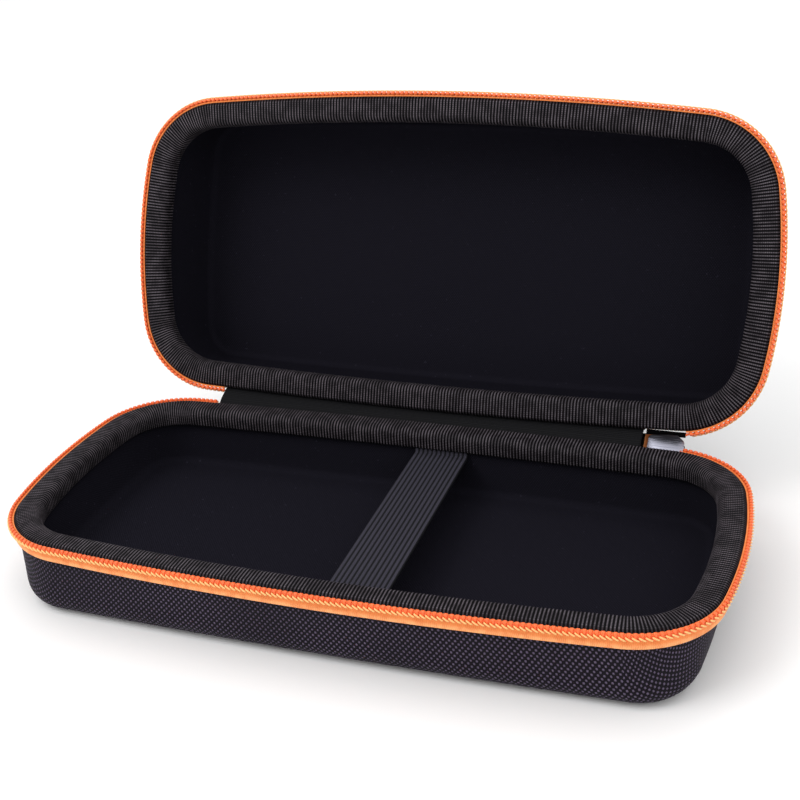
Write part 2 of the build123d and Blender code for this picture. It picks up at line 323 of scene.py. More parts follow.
def pull_along(length, swell=0.0):
    """Extrude the selected line along X, then move its new end out of or into its face."""
    bpy.ops.mesh.extrude_edges_move(TRANSFORM_OT_translate={"value": (length, 0, 0)})
    if swell:
        bpy.ops.transform.shrink_fatten(value=swell)


def repeat(piece, pitch, count):
    """Copy a piece along X into one joined run."""
    select_only(piece)
    run = piece.modifiers.new("Repeat", "ARRAY")
    run.count = count
    run.use_relative_offset = False
    run.use_constant_offset = True
    run.constant_offset_displace = (pitch, 0, 0)
    run.use_merge_vertices = True
    run.merge_threshold = MERGE
    bpy.ops.object.modifier_apply(modifier=run.name)


# Way across a piece in which its cloth map runs: round a profile, or over a ribbon's face
ROUND_PROFILE = (0, -1, 1)
RIBBON_FACE = (0, 0, 1)


def flat_map(piece, across):
    """Cloth map of a piece that still lies along X: its length and one other direction."""
    cloth = piece.data.uv_layers.new(name="cloth")
    vertices = piece.data.vertices
    for loop in piece.data.loops:
        place = vertices[loop.vertex_index].co
        cloth.data[loop.index].uv = (place.x, place.dot(Vector(across)))


def bezier(points, handles):
    """Open guide curve through points, with the handles given."""
    bpy.ops.object.select_all(action="DESELECT")
    bpy.ops.curve.primitive_bezier_curve_add()
    guide = bpy.context.object
    guide.data.dimensions = "3D"
    guide.data.resolution_u = 64
    spline = guide.data.splines[0]
    spline.bezier_points.add(len(points) - 2)
    for knot, place, (before, after) in zip(spline.bezier_points, points, handles):
        knot.handle_left_type = knot.handle_right_type = "FREE"
        knot.co = place
        knot.handle_left = before
        knot.handle_right = after
    return guide


def arc_handle(radius, sweep):
    """Length of the handle with which a guide follows an arc."""
    return 4 / 3 * math.tan(sweep / 4) * radius


def arc_guide(arcs):
    """Guide curve along arcs that follow each other."""
    points, handles = [], []
    for i in range(len(arcs) + 1):
        (cx, cy), radius, start, sweep = arcs[min(i, len(arcs) - 1)]
        angle = start if i < len(arcs) else start + sweep
        ux, uy = math.cos(angle), math.sin(angle)
        x, y = cx + radius * ux, cy + radius * uy
        _, last_radius, _, last_sweep = arcs[max(i - 1, 0)]
        before = arc_handle(last_radius, last_sweep)
        after = arc_handle(radius, sweep)
        points.append((x, y, 0))
        handles.append(
            ((x + uy * before, y - ux * before, 0), (x - uy * after, y + ux * after, 0))
        )
    return bezier(points, handles)


def bent_guide(line, bend):
    """Guide curve along straight runs whose corners are rounded."""
    line = [Vector((*point, 0)) for point in line]
    points, handles = [line[0]], [(None, None)]
    for before, corner, after in zip(line, line[1:], line[2:]):
        inward = (before - corner).normalized()
        onward = (after - corner).normalized()
        turn = math.pi - inward.angle(onward)
        back_off = bend * math.tan(turn / 2)
        handle = arc_handle(bend, turn)
        start = corner + inward * back_off
        end = corner + onward * back_off
        points += [start, end]
        handles += [(None, start - inward * handle), (end - onward * handle, None)]
    points.append(line[-1])
    handles.append((None, None))
    beside = [points[0], *points, points[-1]]
    full = []
    for i, (place, sides) in enumerate(zip(points, handles)):
        thirds = [place + (beside[j] - place) / 3 for j in (i, i + 2)]
        full.append([third if own is None else own for own, third in zip(sides, thirds)])
    return bezier(points, full)


def lay_along(piece, guide):
    """Bend a piece that lies along X to follow a guide, and take the guide away."""
    select_only(piece)
    bend = piece.modifiers.new("Follow", "CURVE")
    bend.object = guide
    bend.deform_axis = "POS_X"
    bpy.ops.object.modifier_apply(modifier=bend.name)
    bpy.data.objects.remove(guide)


def close_ends(piece):
    """Merge what meets, close open ends and turn all faces out."""
    select_only(piece)
    bpy.ops.object.mode_set(mode="EDIT")
    bpy.ops.mesh.select_all(action="SELECT")
    bpy.ops.mesh.remove_doubles(threshold=MERGE)
    bpy.ops.mesh.fill_holes(sides=0)
    bpy.ops.mesh.select_all(action="SELECT")
    bpy.ops.mesh.normals_make_consistent(inside=False)
    bpy.ops.object.mode_set(mode="OBJECT")


def lay_run(piece, guide, pitch, count, across=None):
    """Copy a piece that lies along X into one run, map it as cloth and lay it along a guide."""
    repeat(piece, pitch, count)
    if across:
        flat_map(piece, across)
    lay_along(piece, guide)
    close_ends(piece)


def extruded_run(name, points, guide, length, step, across=ROUND_PROFILE):
    """Extrude a line by about one step, and copy it along the whole length of a guide."""
    count = math.ceil(length / step)
    piece = draw_line(name, points)
    pull_along(length / count)
    bpy.ops.object.mode_set(mode="OBJECT")
    lay_run(piece, guide, length / count, count, across)
    return piece


def shift(piece, along, out=0.0):
    """Move the mesh of a piece that lies along X, along it and outwards."""
    for vertex in piece.data.vertices:
        vertex.co.x += along
        vertex.co.y -= out


def move_mesh(piece, matrix):
    """Move a piece and keep its object at the origin."""
    select_only(piece)
    piece.matrix_world = matrix
    bpy.ops.object.transform_apply(location=True, rotation=True, scale=True)
    bpy.ops.object.mode_set(mode="EDIT")
    bpy.ops.mesh.select_all(action="SELECT")
    bpy.ops.mesh.normals_make_consistent(inside=False)
    bpy.ops.object.mode_set(mode="OBJECT")


def turn_about(y, z, angle):
    """Turn about a line along X."""
    return (
        Matrix.Translation((0, y, z))
        @ Matrix.Rotation(angle, 4, "X")
        @ Matrix.Translation((0, -y, -z))
    )


def seat(piece, half):
    """Move a piece drawn about the parting plane onto its half of the open case."""
    place = Matrix.Translation((0, 0, BASE_DEPTH))
    if half == "lid":
        open_lid = turn_about(HINGE_Y, HINGE_Z, -LID_ANGLE)
        place = open_lid @ place @ Matrix.Diagonal((1, 1, -1, 1))
    move_mesh(piece, place)


def stand_across(piece):
    """Turn a piece bent in the flat so that it stands in Y and Z, with its width along X."""
    place = Matrix(((0, 0, 1, 0), (1, 0, 0, 0), (0, 1, 0, 0), (0, 0, 0, 1)))
    move_mesh(piece, place)


def add_to_case(piece, body, material, slot, nodes=(), sharp=None):
    """Shade a finished piece, give it its material, hide the CAD parts that it stands for, and
    name the body that it rides on where one is given by name.
    """
    select_only(piece)
    bpy.ops.object.shade_smooth()
    if sharp:
        bpy.ops.object.shade_smooth_by_angle(angle=math.radians(sharp))
    piece.data.materials.clear()
    piece.data.materials.append(bpy.data.materials[material])
    if nodes:
        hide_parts(*nodes)
    if isinstance(body, str):
        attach(piece, body)
    else:
        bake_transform(piece)


def add_to_half(piece, half, *finish, sharp=None):
    """Seat a piece drawn about the parting plane on its half, and add it to the case."""
    seat(piece, half)
    add_to_case(piece, half, *finish, sharp=sharp)


# Shader nodes


class Graph:
    """A node tree under construction."""

    def __init__(self, tree):
        self.tree = tree

    def feed(self, node, **inputs):
        """Set or link a node's inputs by name, or by place as i0, i1 and so on."""
        for key, value in inputs.items():
            place = int(key[1:]) if key[1:].isdigit() else key.replace("_", " ")
            if isinstance(value, bpy.types.NodeSocket):
                self.tree.links.new(value, node.inputs[place])
            else:
                node.inputs[place].default_value = value
        return node

    def node(self, kind, settings=None, **inputs):
        """Add a node, set its options and feed its inputs."""
        made = self.tree.nodes.new(kind)
        for key, value in (settings or {}).items():
            setattr(made, key, value)
        return self.feed(made, **inputs)

    def listed(self, kind, settings, *values):
        """First output of a node whose first inputs are given in order."""
        inputs = {f"i{i}": value for i, value in enumerate(values)}
        return self.node(kind, settings, **inputs).outputs[0]

    def group(self, name, **inputs):
        """Place one of the shared groups."""
        return self.node("ShaderNodeGroup", {"node_tree": bpy.data.node_groups[name]}, **inputs)

    def math(self, operation, *values, clamp=False):
        """Work out one number."""
        settings = {"operation": operation, "use_clamp": clamp}
        return self.listed("ShaderNodeMath", settings, *values)

    def product(self, value, *factors):
        """Multiply numbers one after another."""
        for factor in factors:
            value = self.math("MULTIPLY", value, factor)
        return value

    def vector(self, operation, first, second):
        """Work out one vector."""
        return self.listed("ShaderNodeVectorMath", {"operation": operation}, first, second)

    def mix(self, factor, first, second):
        """Blend two colours."""
        inputs = {"i0": factor, "i6": first, "i7": second}
        return self.node("ShaderNodeMix", {"data_type": "RGBA"}, **inputs).outputs[2]

    def range(self, value, low, high, to_low=0.0, to_high=1.0):
        """Map a number smoothly from one range to another."""
        smooth = {"interpolation_type": "SMOOTHSTEP"}
        return self.listed("ShaderNodeMapRange", smooth, value, low, high, to_low, to_high)

    def noise(self, vector, scale, detail=3.0, rough=0.5):
        """Soft random numbers from 0 to 1."""
        inputs = {"Vector": vector, "Scale": scale, "Detail": detail, "Roughness": rough}
        return self.node("ShaderNodeTexNoise", **inputs).outputs["Fac"]

    def bump(self, height, distance, strength, normal=None):
        """Normal of a relief, on top of another normal where one is given."""
        inputs = {"Height": height, "Distance": distance, "Strength": strength}
        if normal:
            inputs["Normal"] = normal
        return self.node("ShaderNodeBump", **inputs).outputs[0]


def new_group(name, numbers, outputs):
    """Shader group that takes a vector and numbers: its graph, what it is given, its result."""
    tree = bpy.data.node_groups.new(name, "ShaderNodeTree")
    tree.interface.new_socket("Vector", in_out="INPUT", socket_type="NodeSocketVector")
    for label, default in numbers.items():
        socket = tree.interface.new_socket(label, in_out="INPUT", socket_type="NodeSocketFloat")
        socket.default_value = default
    for label in outputs:
        tree.interface.new_socket(label, in_out="OUTPUT", socket_type="NodeSocketFloat")
    graph = Graph(tree)
    return graph, graph.node("NodeGroupInput").outputs, graph.node("NodeGroupOutput")


def crossing_group():
    """Plain weave: crossings of raised and sunk yarns, with the raised mask and their height."""
    sizes = {"Width": MM, "Height": MM}
    graph, given, result = new_group("Woven crossings", sizes, ("Raised", "Bump"))
    split = graph.node("ShaderNodeSeparateXYZ", Vector=given["Vector"])
    waves = []
    for axis, size in enumerate(sizes):
        turns = graph.math("DIVIDE", split.outputs[axis], given[size])
        waves.append(graph.math("SINE", graph.math("MULTIPLY", turns, math.pi)))
    crossing = graph.math("MULTIPLY", *waves)
    raised = graph.range(crossing, 0.05, 0.75)
    relief = graph.math("ABSOLUTE", crossing)
    relief = graph.math("MULTIPLY_ADD", relief, 0.4, graph.math("MULTIPLY", raised, 0.6))
    graph.feed(result, Raised=raised, Bump=relief)


def rib_group():
    """Parallel ribs across the first direction of a vector."""
    graph, given, result = new_group("Parallel ribs", {"Pitch": MM}, ("Rib",))
    split = graph.node("ShaderNodeSeparateXYZ", Vector=given["Vector"])
    turns = graph.math("DIVIDE", split.outputs[0], given["Pitch"])
    wave = graph.math("COSINE", graph.math("MULTIPLY", turns, math.tau))
    graph.feed(result, Rib=graph.math("MULTIPLY_ADD", wave, 0.5, 0.5))


FIBRE_SCALE = 4000.0


def yarn_group():
    """Uneven yarn: slow shade variation, fine fibre height and sparse lint."""
    outputs = ("Shade", "Fibre", "Lint")
    graph, given, result = new_group("Uneven yarn", {"Fibre scale": FIBRE_SCALE}, outputs)
    shade = graph.noise(given["Vector"], 35.0, 4.0)
    fibre = graph.noise(given["Vector"], given["Fibre scale"], 2.0, 0.7)
    lint = graph.range(graph.noise(given["Vector"], 900.0, 1.0), 0.72, 0.82)
    graph.feed(result, Shade=shade, Fibre=fibre, Lint=lint)


class Finish(Graph):
    """A material under construction."""

    def __init__(self, name):
        self.material = bpy.data.materials.new(name)
        self.material.use_nodes = True
        super().__init__(self.material.node_tree)
        self.shader = self.tree.nodes["Principled BSDF"]

    def place(self):
        """Object coordinates."""
        return self.node("ShaderNodeTexCoord").outputs["Object"]


class YarnFinish(Finish):
    """A material of uneven yarn or wire under construction."""

    def __init__(self, name, fibre_scale=FIBRE_SCALE):
        super().__init__(name)
        self.where = self.place()
        yarn = self.group("Uneven yarn", Vector=self.where, Fibre_scale=fibre_scale).outputs
        self.shade, self.fibre, self.lint = yarn["Shade"], yarn["Fibre"], yarn["Lint"]

    def cloth_map(self):
        """The piece's own cloth map."""
        return self.node("ShaderNodeUVMap", {"uv_map": "cloth"}).outputs[0]

    def turned(self, cloth):
        """A cloth map turned by a right angle."""
        split = self.node("ShaderNodeSeparateXYZ", Vector=cloth).outputs
        return self.node("ShaderNodeCombineXYZ", X=split[1], Y=split[0]).outputs[0]

    def ribs(self, cloth, pitch):
        """Ribs across the first direction of a cloth map."""
        return self.group("Parallel ribs", Vector=cloth, Pitch=pitch).outputs[0]

    def by_fibre(self, low, high):
        """A number that changes with the fibres."""
        return self.range(self.fibre, 0.2, 0.8, low, high)

    def mottle(self, scale, low, high):
        """A number that changes in soft patches."""
        return self.range(self.noise(self.where, scale), 0.35, 0.65, low, high)

    def complete(self, base, rough, fine, relief=None, **constants):
        """Feed the shader: roughness by the fibres, and bump by the fibres and then a relief."""
        normal = self.bump(self.fibre, *fine)
        if relief:
            normal = self.bump(*relief, normal)
        rough = self.by_fibre(*rough)
        self.feed(self.shader, Base_Color=base, Roughness=rough, Normal=normal, **constants)


def opaque(rgb, gain=1.0):
    """A colour made lighter or darker, with its alpha."""
    return (*(min(1.0, value * gain) for value in rgb), 1.0)


def weave_material(sizes, colours):
    """Coarse weave laminated on the foam: raised crossings lit with a painted highlight over sunk
    ones darkened as painted shade.
    """
    weave = YarnFinish("woven_face")
    cloth = weave.cloth_map()
    noise = weave.node("ShaderNodeTexNoise", Vector=cloth, Scale=450.0, Detail=1.0)
    wobble = weave.vector("SUBTRACT", noise.outputs["Color"], (0.5, 0.5, 0.5))
    moved = weave.vector("ADD", cloth, weave.vector("MULTIPLY", wobble, (0.35 * MM,) * 3))
    cell = {"Width": sizes.weave_cell, "Height": sizes.weave_row}
    crossings = weave.group("Woven crossings", Vector=moved, **cell).outputs
    shade = weave.range(weave.shade, 0.2, 0.8, 0.55, 1.0)
    # Painted highlight on the raised crossings, varied by the yarn's tone and fibres, and painted
    # shade in the sunk ones
    lit = weave.product(crossings["Raised"], shade, weave.by_fibre(0.7, 1.25))
    base = weave.mix(lit, opaque(colours.weave), opaque(colours.weave_crest_highlight))
    relief = (crossings["Bump"], 0.28 * MM, 0.9)
    weave.complete(base, (0.5, 0.72), (0.05 * MM, 0.5), relief, Specular_IOR_Level=0.08)


def grosgrain_material(sizes, colours):
    """Ribbed binding: crests lit with a painted highlight over valleys darkened as painted shade,
    and the fine warp that crosses every rib.
    """
    ribbed = YarnFinish("grosgrain_binding")
    cloth = ribbed.cloth_map()
    rib = ribbed.ribs(cloth, rib_step(sizes))
    warp = ribbed.ribs(ribbed.turned(cloth), 0.62 * MM)
    # Painted highlight on the rib crests, fading to painted shade in the valleys, broken by the
    # warp, soft patches and fibres
    lit = ribbed.product(
        ribbed.range(rib, 0.55, 0.05),
        ribbed.range(warp, 0.0, 1.0, 0.4, 1.0),
        ribbed.mottle(260.0, 0.55, 1.15),
        ribbed.by_fibre(0.6, 1.2),
    )
    base = ribbed.mix(lit, opaque(colours.binding), opaque(colours.binding_crest_highlight))
    relief = (warp, 0.05 * MM, 0.7)
    ribbed.complete(base, (0.55, 0.8), (0.04 * MM, 0.5), relief, Specular_IOR_Level=0.06)


def strap_material(sizes, colours):
    """Elastic: lengthwise ribs with painted shade in the valleys between them, crossed by fine
    weft.
    """
    strap = YarnFinish("strap_elastic")
    cloth = strap.cloth_map()
    valley = strap.ribs(strap.turned(cloth), STRAP_WIDTH / sizes.strap_ribs)
    weft = strap.ribs(cloth, 0.55 * MM)
    # Painted shade in the valleys between the ribs, lighter on the ribs
    lit = strap.product(
        strap.range(valley, 0.85, 0.35),
        strap.range(weft, 0.0, 1.0, 0.55, 1.0),
        strap.by_fibre(0.7, 1.2),
    )
    base = strap.mix(lit, opaque(colours.strap_valley_shade), opaque(colours.strap))
    relief = (weft, 0.1 * MM, 0.8)
    strap.complete(base, (0.6, 0.85), (0.05 * MM, 0.5), relief, Specular_IOR_Level=0.12)


def knit_material(colours):
    """Fine brushed knit of the lining."""
    knit = YarnFinish("brushed_knit", 2600.0)
    cell = {"Width": 0.42 * MM, "Height": 0.55 * MM}
    crossings = knit.group("Woven crossings", Vector=knit.cloth_map(), **cell).outputs
    lit = knit.math("MULTIPLY", crossings["Raised"], 0.5)
    lit = knit.math("ADD", lit, knit.math("MULTIPLY", knit.fibre, 0.6), clamp=True)
    base = knit.mix(lit, opaque(colours.knit, 0.5), opaque(colours.knit, 2.0))
    base = knit.mix(knit.math("MULTIPLY", knit.lint, 0.35), base, opaque(colours.knit, 6.0))
    relief = (crossings["Bump"], 0.08 * MM, 0.6)
    knit.complete(base, (0.8, 0.95), (0.08 * MM, 0.6), relief, Specular_IOR_Level=0.0)


def tape_material(colours):
    """Zip tape: upright ribs with a faint slant and painted shade in their grooves, darker in
    soft random patches, with a painted highlight along the lower edge.
    """
    tape = YarnFinish("woven_tape")
    along, height = tape.node("ShaderNodeSeparateXYZ", Vector=tape.cloth_map()).outputs[:2]
    slant = tape.math("MULTIPLY", tape.math("PINGPONG", height, 0.8 * MM), 0.25)
    slanted = tape.node("ShaderNodeCombineXYZ", X=tape.math("ADD", along, slant)).outputs[0]
    rib = tape.ribs(slanted, 0.53 * MM)
    shade = tape.product(tape.range(rib, 0.1, 0.9, 0.93, 1.0), tape.mottle(330.0, 0.88, 1.02))
    # Painted highlight: lighter towards the tape's lower edge
    lower = tape.range(height, -2.5 * MM, -3.8 * MM)
    face = tape.mix(lower, opaque(colours.tape), opaque(colours.tape_edge_highlight))
    # One darker colour for painted shade in the rib grooves and for soft random patches
    groove_shade_and_mottle = [value * gain for value, gain in zip(colours.tape, (0.8, 0.6, 0.5))]
    base = tape.mix(tape.range(shade, 0.7, 1.0), opaque(groove_shade_and_mottle), face)
    shine = {"Specular_IOR_Level": 0.2, "Sheen_Weight": 0.05}
    tape.complete(base, (0.55, 0.75), (0.04 * MM, 0.5), (rib, 0.05 * MM, 0.6), **shine)


def coil_material(colours):
    """Smooth nylon wire of the coil."""
    coil = YarnFinish("nylon_coil", 1500.0)
    shade = coil.range(coil.shade, 0.3, 0.7)
    base = coil.mix(shade, opaque(colours.coil, 0.85), opaque(colours.coil, 1.05))
    depth = {"Subsurface_Weight": 0.15, "Subsurface_Radius": (0.001, 0.0004, 0.0002)}
    coil.complete(base, (0.3, 0.45), (0.02 * MM, 0.4), **depth)


def thread_material(colours):
    """Twisted thread."""
    thread = YarnFinish("zip_thread", 5000.0)
    base = thread.mix(thread.fibre, opaque(colours.thread, 0.8), opaque(colours.thread, 1.1))
    thread.complete(base, (0.45, 0.65), (0.05 * MM, 0.6))


def hinge_material(colours):
    """Plain black fabric with a fine cross rib."""
    hinge = YarnFinish("hinge_cloth")
    weft = hinge.ribs(hinge.cloth_map(), 0.6 * MM)
    lit = hinge.math("MULTIPLY", weft, hinge.by_fibre(0.5, 1.0))
    base = hinge.mix(lit, opaque(colours.hinge, 0.55), opaque(colours.hinge, 1.6))
    base = hinge.mix(hinge.math("MULTIPLY", hinge.lint, 0.3), base, opaque(colours.hinge, 5.0))
    relief = (weft, 0.1 * MM, 0.8)
    hinge.complete(base, (0.6, 0.85), (0.05 * MM, 0.5), relief, Specular_IOR_Level=0.1)


def metal_material(colours):
    """Plated slider metal with fine scratches."""
    metal = Finish("plated_metal")
    stretched = {"Vector": metal.place(), "Scale": (120.0, 2500.0, 2500.0)}
    scratch = metal.noise(metal.node("ShaderNodeMapping", **stretched).outputs[0], 1.0)
    shade = metal.range(scratch, 0.3, 0.7)
    base = metal.mix(shade, opaque(colours.metal, 0.8), opaque(colours.metal, 1.1))
    rough = metal.range(scratch, 0.3, 0.7, 0.24, 0.42)
    normal = metal.bump(scratch, 0.02 * MM, 0.3)
    metal.feed(metal.shader, Base_Color=base, Roughness=rough, Normal=normal, Metallic=1.0)


def make_materials(context):
    """Build the shared groups and every material once."""
    if "Woven crossings" in bpy.data.node_groups:
        return
    sizes, colours = context.scene.case_sizes, context.scene.case_colours
    for build in (crossing_group, rib_group, yarn_group):
        build()
    for build in (weave_material, grosgrain_material, strap_material):
        build(sizes, colours)
    for build in (
        knit_material,
        tape_material,
        coil_material,
        thread_material,
        hinge_material,
        metal_material,
    ):
        build(colours)


# Moulded halves


# Steps along each arc of the outline, up the wall and round the flat face's edge, and how far
# inside that edge the flat face has two more rings
ARC_STEPS = 16
WALL_STEPS = 5
EDGE_STEPS = 7
FLAT_RINGS = (1.5 * MM, 6 * MM)

# Thickness of the woven face, and inset and thickness of the knit, so that they don't touch
FACE_THICK = WALL - 0.15 * MM
KNIT_INSET = WALL + 0.05 * MM
KNIT_THICK = LINING - 0.1 * MM


def mould_levels(depth, inset):
    """Share of the wall, growth and height of each ring, from the rim to the flat face."""
    top = depth - RIM_DROP
    edge = FLAT_EDGE - inset
    levels = [(1.0, -inset, top)]
    for i in range(EDGE_STEPS, -1, -1):
        turn = math.radians(90 * i / EDGE_STEPS)
        height = edge * (1 - math.cos(turn))
        narrowed = inset + edge * (1 - math.sin(turn))
        if i == EDGE_STEPS:
            for j in range(1, WALL_STEPS):
                part = 1 - (1 - height / (top - inset)) * j / WALL_STEPS
                levels.append((part, -inset, inset + part * (top - inset)))
        levels.append((height / (top - inset), -narrowed, inset + height))
    return levels + [(0.0, -inset - edge - extra, inset) for extra in FLAT_RINGS]


def mould_rings(depth, inset):
    """Rings of a moulded half: points about the parting plane, each with its way outwards."""
    rings = []
    for share, grow, height in mould_levels(depth, inset):
        ring = []
        for (cx, cy), radius, start, sweep in wall_outline(share):
            for i in range(ARC_STEPS):
                angle = start + sweep * i / ARC_STEPS
                ux, uy = math.cos(angle), math.sin(angle)
                place = Vector((cx + (radius + grow) * ux, cy + (radius + grow) * uy, height))
                ring.append((place - Vector((0, 0, depth)), Vector((ux, uy))))
        rings.append(ring)
    return rings


def unrolled(rings):
    """Cloth map of the rings: the flat face as it is, and the wall unrolled outwards from it."""
    maps = [[place.xy for place, _ in ring] for ring in rings]
    edge = len(rings) - len(FLAT_RINGS) - 1
    walk = [0.0] * len(rings[edge])
    for level in range(edge - 1, -1, -1):
        for i, (place, side) in enumerate(rings[level]):
            walk[i] += (place - rings[level + 1][i][0]).length
            maps[level][i] = maps[edge][i] + side * walk[i]
    return maps


def newest_on(ring, vertices):
    """Numbers of the vertices just extruded from a ring, in the ring's order."""
    near = kdtree.KDTree(len(ring))
    for i in range(len(vertices) - len(ring), len(vertices)):
        near.insert(vertices[i].co, i)
    near.balance()
    return [near.find(place)[1] for place, _ in ring]


def mould(name, depth, inset):
    """Draw one half as rings, each extruded from the last and set to its level."""
    rings = mould_rings(depth, inset)
    order = range(len(rings[0]))
    bpy.ops.object.select_all(action="DESELECT")
    bpy.ops.mesh.primitive_circle_add(vertices=len(order), radius=RIM_PLAN[1] / 2)
    piece = bpy.context.object
    name_piece(piece, name)
    cloth = {}
    for level, (ring, flat) in enumerate(zip(rings, unrolled(rings))):
        if level:
            bpy.ops.object.mode_set(mode="EDIT")
            bpy.ops.mesh.extrude_edges_move(TRANSFORM_OT_translate={"value": (0, 0, 0)})
            bpy.ops.object.mode_set(mode="OBJECT")
            order = newest_on(rings[level - 1], piece.data.vertices)
        for i, (place, _) in zip(order, ring):
            piece.data.vertices[i].co = place
        cloth.update(zip(order, flat))
    bpy.ops.object.mode_set(mode="EDIT")
    bpy.ops.mesh.edge_face_add()
    bpy.ops.object.mode_set(mode="OBJECT")
    layer = piece.data.uv_layers.new(name="cloth")
    for loop in piece.data.loops:
        layer.data[loop.index].uv = cloth[loop.vertex_index]
    return piece


def give_thickness(piece, thickness):
    """Thicken a sheet inwards and close its rim."""
    select_only(piece)
    wall = piece.modifiers.new("Sheet", "SOLIDIFY")
    wall.thickness = thickness
    wall.offset = -1
    bpy.ops.object.modifier_apply(modifier=wall.name)


def add_layer(context, name, inset, thickness, material, slot, node):
    """Mould one layer of both halves."""
    make_materials(context)
    for half, depth in HALVES.items():
        piece = mould(f"{half}_{name}", depth, inset)
        seat(piece, half)
        give_thickness(piece, thickness)
        add_to_case(piece, half, material, slot, [f"{half}_{node}"], sharp=60)
    return {"FINISHED"}


class CASE_OT_moulded_halves(bpy.types.Operator):
    """Add the moulded foam sheet of both halves, with its woven face outside."""

    bl_idname = "case.moulded_halves"
    bl_label = "Moulded halves"

    def execute(self, context):
        finish = ("woven_face", "woven_sheet", "shell")
        return add_layer(context, "woven_face", 0.0, FACE_THICK, *finish)


class CASE_OT_linings(bpy.types.Operator):
    """Add the knitted lining inside both halves."""

    bl_idname = "case.linings"
    bl_label = "Knitted linings"

    def execute(self, context):
        finish = ("brushed_knit", "knit_lining", "lining")
        return add_layer(context, "knit", KNIT_INSET, KNIT_THICK, *finish)


# Profiles round the rim, in millimetres out from the rim line and up from the parting plane


def rounded(points, rounds, steps):
    """Points of a profile with some of its corners rounded off, each to its own radius."""
    line = []
    for i, corner in enumerate(points):
        radius = rounds.get(i, 0)
        if not radius:
            line.append(corner)
            continue
        here = Vector(corner)
        before = (Vector(points[i - 1]) - here).normalized()
        after = (Vector(points[(i + 1) % len(points)]) - here).normalized()
        turn = math.pi - before.angle(after)
        centre = here + (before + after).normalized() * radius / math.cos(turn / 2)
        first = here + before * radius * math.tan(turn / 2) - centre
        last = here + after * radius * math.tan(turn / 2) - centre
        for j in range(steps + 1):
            near = first * math.sin((1 - j / steps) * turn)
            far = last * math.sin(j / steps * turn)
            line.append(tuple(centre + (near + far) / math.sin(turn)))
    return line


BINDING_PROFILE = rounded(
    [(0.05, -5.0), (0.62, -5.0), (0.62, -0.2), (-7.4, -0.2),
     (-7.4, -6.5), (-4.9, -6.5), (-4.9, -1.95), (0.05, -1.95)],
    {1: 0.25, 2: 1.5, 3: 2.4, 4: 1.2},
    steps=4,
)
TAPE_PROFILE = rounded(
    [(0.66, -5.45), (1.3, -5.45), (1.3, -5.05), (1.16, -4.75), (1.16, -3.6),
     (1.2, -2.5), (1.2, -0.9), (0.7, -0.9), (0.7, -2.5), (0.66, -3.6)],
    {0: 0.15, 1: 0.25, 2: 0.2, 4: 0.4, 5: 0.4, 8: 0.4, 9: 0.4},
    steps=3,
)
SEWN_PROFILE = [(0.66, -6.2), (1.2, -6.2), (1.2, -5.9), (1.15, -5.7), (1.15, -4.6), (0.66, -4.6)]
CORD_PROFILE = [(1.5, -1.75), (1.95, -1.75), (2.0, -1.1), (1.85, -0.5), (1.6, -0.5), (1.45, -1.1)]


# Binding


def rib_count(sizes):
    """Number of ribs round the rim."""
    return round(PERIMETER / sizes.rib_pitch)


def rib_step(sizes):
    """Distance between two ribs, so that they close up round the rim."""
    return PERIMETER / rib_count(sizes)


class CASE_OT_bindings(bpy.types.Operator):
    """Add the ribbed binding rolled over both rims, modelled as one rib and copied round."""

    bl_idname = "case.bindings"
    bl_label = "Rim bindings"

    def execute(self, context):
        make_materials(context)
        sizes = context.scene.case_sizes
        step = rib_step(sizes)
        rise = sizes.rib_height / 2
        for half in HALVES:
            piece = draw_line(f"{half}_binding", upright(BINDING_PROFILE))
            for swell in (rise, rise, -rise, -rise):
                pull_along(step / 4, swell)
            bpy.ops.object.mode_set(mode="OBJECT")
            lay_run(piece, arc_guide(RIM), step, rib_count(sizes), ROUND_PROFILE)
            add_to_half(piece, half, "grosgrain_binding", "binding", [f"{half}_rim_binding"])
        return {"FINISHED"}


# Zip


# The coil: its middle outside the rim line, half its width, and the heights of its foot and tip
COIL_MIDDLE = 1.72 * MM
COIL_SPREAD = 0.32 * MM
COIL_FOOT = -2.3 * MM
COIL_TIP = -0.03 * MM

# The teeth widen along the zip between these heights, by this much of their width
HEAD_LOW = -1.05 * MM
HEAD_HIGH = -0.2 * MM
HEAD_WIDENING = 1.35

# The thread: heights at which a stitch begins and ends, its thickness and its rise
STITCH_TOP = -1.15 * MM
STITCH_BOTTOM = -2.0 * MM
STITCH_THICK = 0.52 * MM
STITCH_RISE = 0.12 * MM


class CASE_OT_zip_tapes(bpy.types.Operator):
    """Add the zip tape sewn round both rims, and the cord in its coil."""

    bl_idname = "case.zip_tapes"
    bl_label = "Zip tapes"

    def execute(self, context):
        make_materials(context)
        step = context.scene.case_sizes.tooth_pitch / 2
        behind = (rim_distance(ZIP_RIGHT), rim_distance(CHAIN_LEFT))
        for half in HALVES:
            woven = ("woven_tape", "zip_tape", [f"{half}_zip_tape"])
            for name, profile, (begin, end), finish in (
                ("tape", TAPE_PROFILE, ZIP_RUN, woven),
                ("sewn_tape", SEWN_PROFILE, behind, woven),
                ("coil_cord", CORD_PROFILE, ZIP_RUN, ("nylon_coil", "zip_coil", [])),
            ):
                guide = arc_guide(rim_between(begin, end))
                points = upright(profile)
                piece = extruded_run(f"{half}_{name}", points, guide, end - begin, step)
                add_to_half(piece, half, *finish, sharp=50)
        return {"FINISHED"}


def zip_teeth(sizes):
    """Number of teeth on each tape, and their pitch along the rim."""
    arcs = rim_between(*ZIP_RUN)
    length = sum((radius + COIL_MIDDLE) * sweep for _, radius, _, sweep in arcs)
    count = round(length / sizes.tooth_pitch)
    return count, (ZIP_RUN[1] - ZIP_RUN[0]) / count


